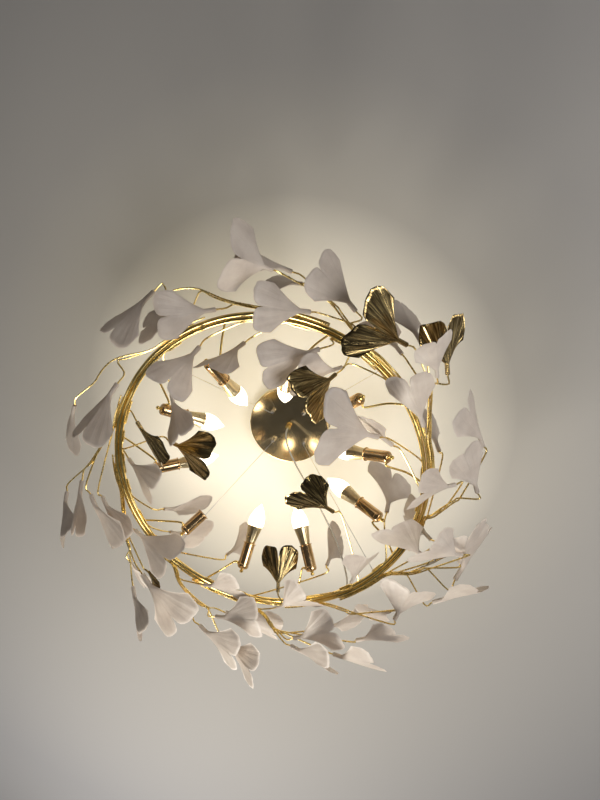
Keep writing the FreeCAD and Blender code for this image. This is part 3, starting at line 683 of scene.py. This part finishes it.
def twig(stem, neck, aim, knee):
    """A rod from the places of its stem, through a knee before the neck, into the leaf."""
    along = (aim - neck).normalized()
    line = flowing(stem + [neck - along * knee, neck - along * 4, neck + along * NECK_INSET], 40)
    return tube(line, TWIG / 2, 8, hollow=0.7)


def leaf_at(number, key, neck, aim, roll, size, gilded):
    """The leaf of one sprig in its place."""
    form = leaf_form(number, gilded, FOLDED.get(key, SPREAD))
    return placed(form, leaf_matrix(neck, aim, roll, size))


leaf_number = 0
gold_forms = []
for name, plan in BRANCHES.items():
    first, last = plan["lie"]
    lie = [polar(first + (last - first) * i / 4, STEM_LANE, 0) for i in range(5)]
    leave = [at_ring(*place) for place in plan["leave"]]
    rods, white = [], []
    count = len(plan["sprigs"])
    for index, (fork, neck, aim, roll, size, gilded) in enumerate(plan["sprigs"]):
        neck, aim = at_ring(*neck), at_ring(*aim)
        stem = bundle_line(lie[index % 2:] + leave[:fork + 1], index, count)
        rods.append(twig(stem[::3], neck, aim, 22 * size))
        form = leaf_at(leaf_number, (name, index), neck, aim, roll, size, gilded)
        leaf_number += 1
        (gold_forms if gilded else white).append(form)
    piece("rods_" + name, rods, ROD, "frame", "branch_" + name)
    piece("ginkgo_" + name, white, PORCELAIN, "frame", "leaves_" + name, sharp=60)

rods, white = [], []
for index, ((first, last), neck, aim, roll, size, gilded) in enumerate(INNER):
    neck, aim = at_ring(*neck), at_ring(*aim)
    runner = [polar(angle, RUNNER_LANE, 0) for angle in (first, (first + last) / 2, last)]
    rods.append(twig(runner, neck, aim, 30 * size))
    form = leaf_at(leaf_number, ("inner", index), neck, aim, roll, size, gilded)
    leaf_number += 1
    (gold_forms if gilded else white).append(form)
piece("rods_inner", rods, ROD, "frame", "inner_twigs")
piece("ginkgo_inner", white, PORCELAIN, "frame", "inner_leaves", sharp=60)
piece("ginkgo_gold", gold_forms, GILT, "frame", "gold_leaves", sharp=60)


# ---- hoop ----
def hoop_tube(lane, wobble, seed):
    """One of the hoop's tubes, bent by hand: it strays a little from its true circle."""
    draw = np.random.default_rng(seed)
    phases = draw.uniform(0, 2 * math.pi, 3)
    points = []
    for i in range(180):
        angle = 2 * i
        ripple = sum(math.sin(k * math.radians(angle) + phases[k - 2]) for k in (2, 3, 4)) / 3
        points.append(polar(angle, RING + lane + wobble * ripple, 0.25 * ripple))
    return tube(points, HOOP_TUBE / 2, 16, closed=True)


piece("hoop_tubes", [hoop_tube(lane, 0.2, 7 + i) for i, lane in enumerate(HOOP_LANES)],
      BRASS, "frame", "ring_hoop")


# ---- lamps ----
def lamp_matrix(angle):
    """Where a lampholder's back face sits, with its own +Z along the lamp."""
    turn, tilt = math.radians(angle), math.radians(LAMP_TILT)
    along = Vector((-math.cos(turn) * math.cos(tilt), -math.sin(turn) * math.cos(tilt), math.sin(tilt)))
    side = Vector((-math.sin(turn), math.cos(turn), 0))
    axes = Matrix((side, along.cross(side), along)).transposed().to_4x4()
    return Matrix.Translation(polar(angle, LAMP_RADIUS, LAMP_RISE)) @ axes


# Corners of the turned forms: a radius and a height, in the lamp's own frame.
CUP_PROFILE = [(8.6, 0), (9.4, 0.2), (11.6, 2.4), (12.4, 5), (12.5, 7), (12.5, 9.5), (12.1, 10), (12.1, 11),
               (12.5, 11.5), (12.5, 55.6), (13.0, 56), (14.3, 56.2), (14.5, 56.8), (14.3, 57.6), (13.6, 58),
               (11.6, 58), (11.3, 57.6), (11.3, 4.4)]
CORE_PROFILE = [(10.9, 4.4), (10.9, 45.2), (10.3, 46), (7.6, 46), (7.05, 45.4), (7.05, 22.5)]
FINIAL_PROFILE = [(5.2, 0), (5.3, -0.7), (4.6, -1.6), (2.6, -2.4), (2.3, -3.2), (3.4, -4.2), (4.3, -5.6),
                  (4.2, -7.0), (3.2, -8.6), (1.8, -9.6), (0, -10)]
COLLAR_PROFILE = [(3.4, 0), (3.5, 0.4), (3.5, 1.6), (2.9, 2.2)]
HOUSING_PROFILE = [(4.0, 23), (6.4, 25.6), (6.9, 26), (6.3, 27.6), (6.9, 29.2), (6.3, 30.8), (6.9, 32.4),
                   (6.3, 34), (6.9, 35.6), (6.6, 37.4), (6.9, 45.8), (10.0, 46.9), (10.1, 58.4), (10.9, 60),
                   (11.1, 61.5), (11.4, 63), (16.2, 92.5), (16.7, 94), (16.8, 95.6), (16.3, 96.8), (15.6, 97)]
DIFFUSER_PROFILE = [(15.9, 97.2), (16.9, 98.6), (17.5, 101.5), (17.7, 105), (17.6, 109), (17.0, 114),
                    (15.8, 119.5), (13.8, 125), (11.2, 130.5), (8.2, 135.6), (5.2, 140), (2.8, 143.6),
                    (1.1, 146.6), (0, 147.7)]
FLUTES = 18
FLUTE_DEPTH = 0.7
FLUTED = (61.9, 94.5)
ARM_HEIGHT = 9


def housing_form():
    """Screw cap and flared, fluted housing of a candle lamp."""
    sides = 4 * FLUTES
    verts, faces, uvs = lathe(HOUSING_PROFILE, sides)
    for k, v in enumerate(verts):
        if FLUTED[0] < v.z < FLUTED[1]:
            dip = FLUTE_DEPTH / 2 * (1 + math.cos(2 * math.pi * (k % sides) / sides * FLUTES))
            reach = math.hypot(v.x, v.y)
            share = (reach - dip) / reach
            verts[k] = Vector((v.x * share, v.y * share, v.z))
    return verts, faces, uvs


def arm_parts(angle, matrix):
    """A lampholder's arm from the hoop to the side of its cup, and the collar at the cup."""
    foot = polar(angle + 13, RING, HOOP_TOP - 3)
    rise = polar(angle + 13, RING - 1, 13)
    over = polar(angle + 9, RING - 37, 18)
    beside = matrix @ Vector((21, 0, ARM_HEIGHT))
    wall = matrix @ Vector((12.0, 0, ARM_HEIGHT))
    collar = Matrix.Translation((12.1, 0, ARM_HEIGHT)) @ Matrix.Rotation(math.pi / 2, 4, "Y")
    return [tube(flowing([foot, rise, over, beside, wall], 36), ARM_TUBE / 2, 12),
            placed(lathe(COLLAR_PROFILE, 16), matrix @ collar)]


lamp_places = {angle: lamp_matrix(angle) for angle in LAMP_ANGLES}
holders = (("holder_shells", CUP_PROFILE, CUP, "lampholder_cups", "polished_brass"),
           ("holder_knobs", FINIAL_PROFILE, BRASS, "lampholder_finials", "polished_brass"),
           ("holder_sockets", CORE_PROFILE, CORE, "lampholder_cores", "socket_insulator"))
for name, profile, material, node, slot_name in holders:
    forms = [placed(lathe(profile), m) for m in lamp_places.values()]
    piece(name, forms, material, "frame", node)
arms = [part for angle, m in lamp_places.items() for part in arm_parts(angle, m)]
piece("arm_tubes", arms, BRASS, "frame", "lamp_arms")
for number, angle in enumerate(LIT_LAMPS, 1):
    m = lamp_places[angle]
    body = "bulb_%d" % number
    piece("lamp_%d_housing" % number, [placed(housing_form(), m)], HOUSING, body,
          "bulb_%d_base" % number)
    piece("lamp_%d_cover" % number, [placed(lathe(DIFFUSER_PROFILE), m)], LIT, body,
          "bulb_%d_diffuser" % number)


# ---- ceiling side ----
DISH_PROFILE = [(CANOPY_INSIDE, -25), (CANOPY_INSIDE, 0), (CANOPY_RADIUS, 0), (CANOPY_RADIUS, -24.2),
                (97.6, -25.2), (96.6, -25.8), (95.4, -26), (9, -26), (4.9, -26), (4.9, -25), (96.0, -25)]
GRIPPER_PROFILE = [(0.9, -40), (4.2, -40), (4.8, -39.4), (5.0, -38.6), (5.0, -34.5), (4.7, -34.1),
                   (4.7, -33.5), (5.0, -33.1), (5.0, -27.2), (4.6, -26), (3.0, -26), (3.0, -16), (0.9, -16)]
SLEEVE_PROFILE = [(0.9, -43), (2.1, -43), (2.5, -42.6), (2.5, -35), (0.9, -35)]
NUT_PROFILE = [(3.05, -25), (6.2, -25), (6.2, -21), (3.05, -21)]
GRIP_PROFILE = [(2.1, -44), (3.6, -44), (4.3, -43.2), (5.6, -39), (6.3, -37.6), (6.5, -36.5), (6.5, -35.2),
                (6.1, -34.8), (6.1, -34.2), (6.5, -33.8), (6.5, -26.6), (6.2, -26), (4.5, -26), (4.5, -17),
                (4.0, -17)]
GRIP_NUT_PROFILE = [(4.6, -25), (8.4, -25), (8.4, -21), (4.6, -21)]
SCREW_PROFILE = [(1.95, -9), (1.95, 0), (3.8, 0.02), (4.4, 0.5), (4.5, 1.0), (4.5, 2.6), (4.2, 3.2),
                 (3.4, 3.5), (0, 3.5)]
SCREW_HEIGHT = -10.5
ANCHOR_PROFILE = [(2.2, -4), (3.4, -0.6), (3.5, 0.4), (3.5, 3.6), (3.2, 4.2), (2.2, 5.2), (1.7, 8.6),
                  (1.3, 9)]
GLAND_PROFILE = [(2.6, -4), (4.8, -0.6), (5.0, 0.4), (5.0, 4.8), (4.5, 5.5), (3.5, 7.6), (3.0, 8)]

piece("canopy_dish", [lathe(DISH_PROFILE, 128)], MIRROR, "canopy", "canopy_cover", sharp=50)

grip_places = [Matrix.Translation(polar(angle, GRIPPER_RADIUS, DROP)) for angle in GRIPPER_ANGLES]
piece("wire_grippers", [placed(lathe(GRIPPER_PROFILE, 28), m) for m in grip_places], NICKEL, "canopy",
      "gripper_bodies")
piece("grip_nuts", [placed(lathe(NUT_PROFILE, 6), m) for m in grip_places], NICKEL, "canopy",
      "gripper_nuts")
for number, m in enumerate(grip_places, 1):
    piece("release_sleeve_%d" % number, [placed(lathe(SLEEVE_PROFILE, 20), m)], NICKEL, "sleeve_%d" % number,
          "gripper_sleeve_%d" % number)

piece("cord_relief", [lathe(GRIP_PROFILE, 28), lathe(GRIP_NUT_PROFILE, 6)], BRASS, "canopy", "cord_grip")

screws = []
for side in (-1, 1):
    turn = Matrix.Rotation(side * math.pi / 2, 4, "Y")
    m = Matrix.Translation((CANOPY_RADIUS * side, 0, SCREW_HEIGHT)) @ turn
    screws.append(placed(lathe(SCREW_PROFILE, 24), m))
piece("rim_screws", screws, NICKEL, "canopy", "canopy_side_screws")

for node, material in (("ceiling_bracket", ZINC), ("terminal_block", BLOCK)):
    nodes[node].data.materials.clear()
    nodes[node].data.materials.append(material)

fittings = [placed(lathe(ANCHOR_PROFILE, 20), Matrix.Translation(polar(angle, RING, HOOP_TOP)))
            for angle in GRIPPER_ANGLES]
fittings.append(placed(lathe(GLAND_PROFILE, 24), Matrix.Translation(polar(CORD_ANGLE, RING, HOOP_TOP))))
piece("anchor_posts", fittings, BRASS, "frame", "hoop_fittings")


# ---- wires and cord ----
def route_line(name, points):
    """Places along the smooth line of a route's own spline, in millimetres."""
    curve = bpy.data.curves.new(name, "CURVE")
    curve.dimensions = "3D"
    curve.resolution_u = 12
    spline = curve.splines.new("NURBS")
    spline.points.add(len(points) - 1)
    for target, p in zip(spline.points, points):
        target.co = (p.x * MM, p.y * MM, p.z * MM, 1.0)
    spline.order_u = 3
    spline.use_endpoint_u = True
    holder = bpy.data.objects.new(name, curve)
    bpy.context.scene.collection.objects.link(holder)
    bpy.context.view_layer.update()
    mesh = bpy.data.meshes.new_from_object(holder)
    line = [v.co / MM for v in mesh.vertices]
    bpy.data.objects.remove(holder)
    bpy.data.curves.remove(curve)
    bpy.data.meshes.remove(mesh)
    return line


for number, angle in enumerate(GRIPPER_ANGLES, 1):
    top = polar(angle, GRIPPER_RADIUS, WIRE_TOP + DROP)
    end = polar(angle, RING, WIRE_END + DROP)
    line = [top.lerp(end, i / 40) for i in range(41)]
    wire = piece("steel_wire_%d" % number, [tube(line, WIRE_DIAMETER / 2, 8)], STEEL, "canopy",
                 "suspension_wires")
    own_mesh(wire)

route = [polar(angle, out * RING, CORD_TOP + (CORD_END - CORD_TOP) * down + DROP)
         for angle, out, down in CORD_PLACES]
line = route_line("cord_route", route)
cord = piece("clear_cord", [tube(line, CORD_DIAMETER / 2, 14)], CLEAR, "canopy", "mains_cord")
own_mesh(cord)


# ---- stage ----
def stage_material():
    """Pale matt ceiling with a painted warm glow over the lamp and painted shade towards its edges, that only
    shows from the room's side.
    """
    n = Nodes("ceiling_painted_glow")
    distance = n.add("ShaderNodeVectorMath", operation="LENGTH")
    n.link(n.coordinates(), distance.inputs[0])
    away = n.add("ShaderNodeMapRange")
    away.inputs["From Max"].default_value = 1.6
    n.link(distance.outputs["Value"], away.inputs["Value"])
    # Painted light: the ceiling's colour is bright and warm over the lamp and darkens outwards as painted
    # shade.
    painted_glow_and_shade = [(0.0, (1.0, 0.98, 0.90)), (0.16, (0.96, 0.92, 0.82)),
             (0.34, (0.44, 0.42, 0.385)), (1.0, (0.28, 0.28, 0.29))]
    n.link(n.ramp(away.outputs["Result"], painted_glow_and_shade), n.shader.inputs["Base Color"])
    n.set(Roughness=0.9, Specular_IOR_Level=0.1)
    rays = n.add("ShaderNodeLightPath")
    seen = rays.outputs["Is Camera Ray"]
    for kind in ("Is Glossy Ray", "Is Transmission Ray"):
        either = n.add("ShaderNodeMath", operation="MAXIMUM")
        n.link(seen, either.inputs[0])
        n.link(rays.outputs[kind], either.inputs[1])
        seen = either.outputs["Value"]
    # Painted glow: warm light added for camera, glossy and transmission rays, strongest over the lamp.
    painted_warm_glow = [(0.0, (0.36, 0.31, 0.20)), (0.12, (0.30, 0.26, 0.17)),
            (0.34, (0.04, 0.035, 0.02)), (0.5, (0.0, 0.0, 0.0))]
    n.link(n.ramp(away.outputs["Result"], painted_warm_glow), n.shader.inputs["Emission Color"])
    n.link(seen, n.shader.inputs["Emission Strength"])
    clear = n.add("ShaderNodeBsdfTransparent")
    facing = n.add("ShaderNodeNewGeometry")
    mix = n.add("ShaderNodeMixShader")
    n.link(facing.outputs["Backfacing"], mix.inputs["Fac"])
    n.link(n.shader.outputs["BSDF"], mix.inputs[1])
    n.link(clear.outputs["BSDF"], mix.inputs[2])
    n.link(mix.outputs["Shader"], n.output.inputs["Surface"])
    return n.material


def add_ceiling(half_width, gap):
    """The room's ceiling, a hair above the canopy's rim."""
    corners = [(-half_width, -half_width), (-half_width, half_width), (half_width, half_width),
               (half_width, -half_width)]
    mesh = bpy.data.meshes.new("ceiling")
    mesh.from_pydata([(x, y, gap) for x, y in corners], [], [(0, 1, 2, 3)])
    mesh.materials.append(stage_material())
    ceiling = bpy.data.objects.new("ceiling", mesh)
    bpy.context.scene.collection.objects.link(ceiling)


def add_room(strength, stops):
    """The room's light from all round: a ramp from straight below to straight above."""
    world = bpy.data.worlds.new("room")
    bpy.context.scene.world = world
    world.use_nodes = True
    tree = world.node_tree
    background = tree.nodes["Background"]
    background.inputs["Strength"].default_value = strength
    sky = tree.nodes.new("ShaderNodeTexCoord")
    split = tree.nodes.new("ShaderNodeSeparateXYZ")
    level = tree.nodes.new("ShaderNodeMapRange")
    level.inputs["From Min"].default_value = -1.0
    shade = tree.nodes.new("ShaderNodeValToRGB")
    elements = shade.color_ramp.elements
    while len(elements) < len(stops):
        elements.new(0.5)
    for element, (place, colour) in zip(elements, stops):
        element.position = place
        element.color = (*colour, 1.0)
    tree.links.new(sky.outputs["Generated"], split.inputs["Vector"])
    tree.links.new(split.outputs["Z"], level.inputs["Value"])
    tree.links.new(level.outputs["Result"], shade.inputs["Fac"])
    tree.links.new(shade.outputs["Color"], background.inputs["Color"])


def soft_light(name, place, aim, size_m, power, colour):
    """A round soft light at a place, turned to its aim."""
    light = bpy.data.lights.new(name, "AREA")
    light.shape = "DISK"
    light.size = size_m
    light.energy = power
    light.color = colour
    obj = bpy.data.objects.new(name, light)
    obj.location = place
    obj.rotation_euler = (Vector(aim) - Vector(place)).to_track_quat("-Z", "Y").to_euler()
    bpy.context.scene.collection.objects.link(obj)


def add_camera(place, right, down, lens):
    """The photograph's camera from its place and the directions of the picture's right and down."""
    data = bpy.data.cameras.new("camera")
    data.sensor_width = 36.0
    data.lens = lens
    data.clip_end = 50.0
    camera = bpy.data.objects.new("camera", data)
    right = Vector(right).normalized()
    ahead = right.cross(Vector(down).normalized()).normalized()
    down = ahead.cross(right)
    axes = Matrix((right, -down, -ahead)).transposed().to_4x4()
    camera.matrix_world = Matrix.Translation(place) @ axes
    bpy.context.scene.collection.objects.link(camera)
    bpy.context.scene.camera = camera


add_ceiling(6.0, 0.0015)
add_room(0.5, [(0.0, (0.12, 0.115, 0.11)), (0.30, (0.13, 0.125, 0.12)), (0.5, (0.75, 0.73, 0.70)),
               (1.0, (0.9, 0.88, 0.84))])
soft_light("key", (-0.5, 1.7, -1.3), (0, 0.1, -0.25), 0.9, 37.0, (1.0, 0.95, 0.87))
soft_light("fill", (1.5, -0.3, -1.7), (0, 0, -0.25), 1.4, 24.0, (0.98, 0.96, 0.96))
add_camera((0.252, -0.555, -1.378), (0.9866, 0.0, 0.1635), (0.0546, 0.9426, -0.3295), 27.0)
bpy.context.scene.view_settings.view_transform = "Standard"
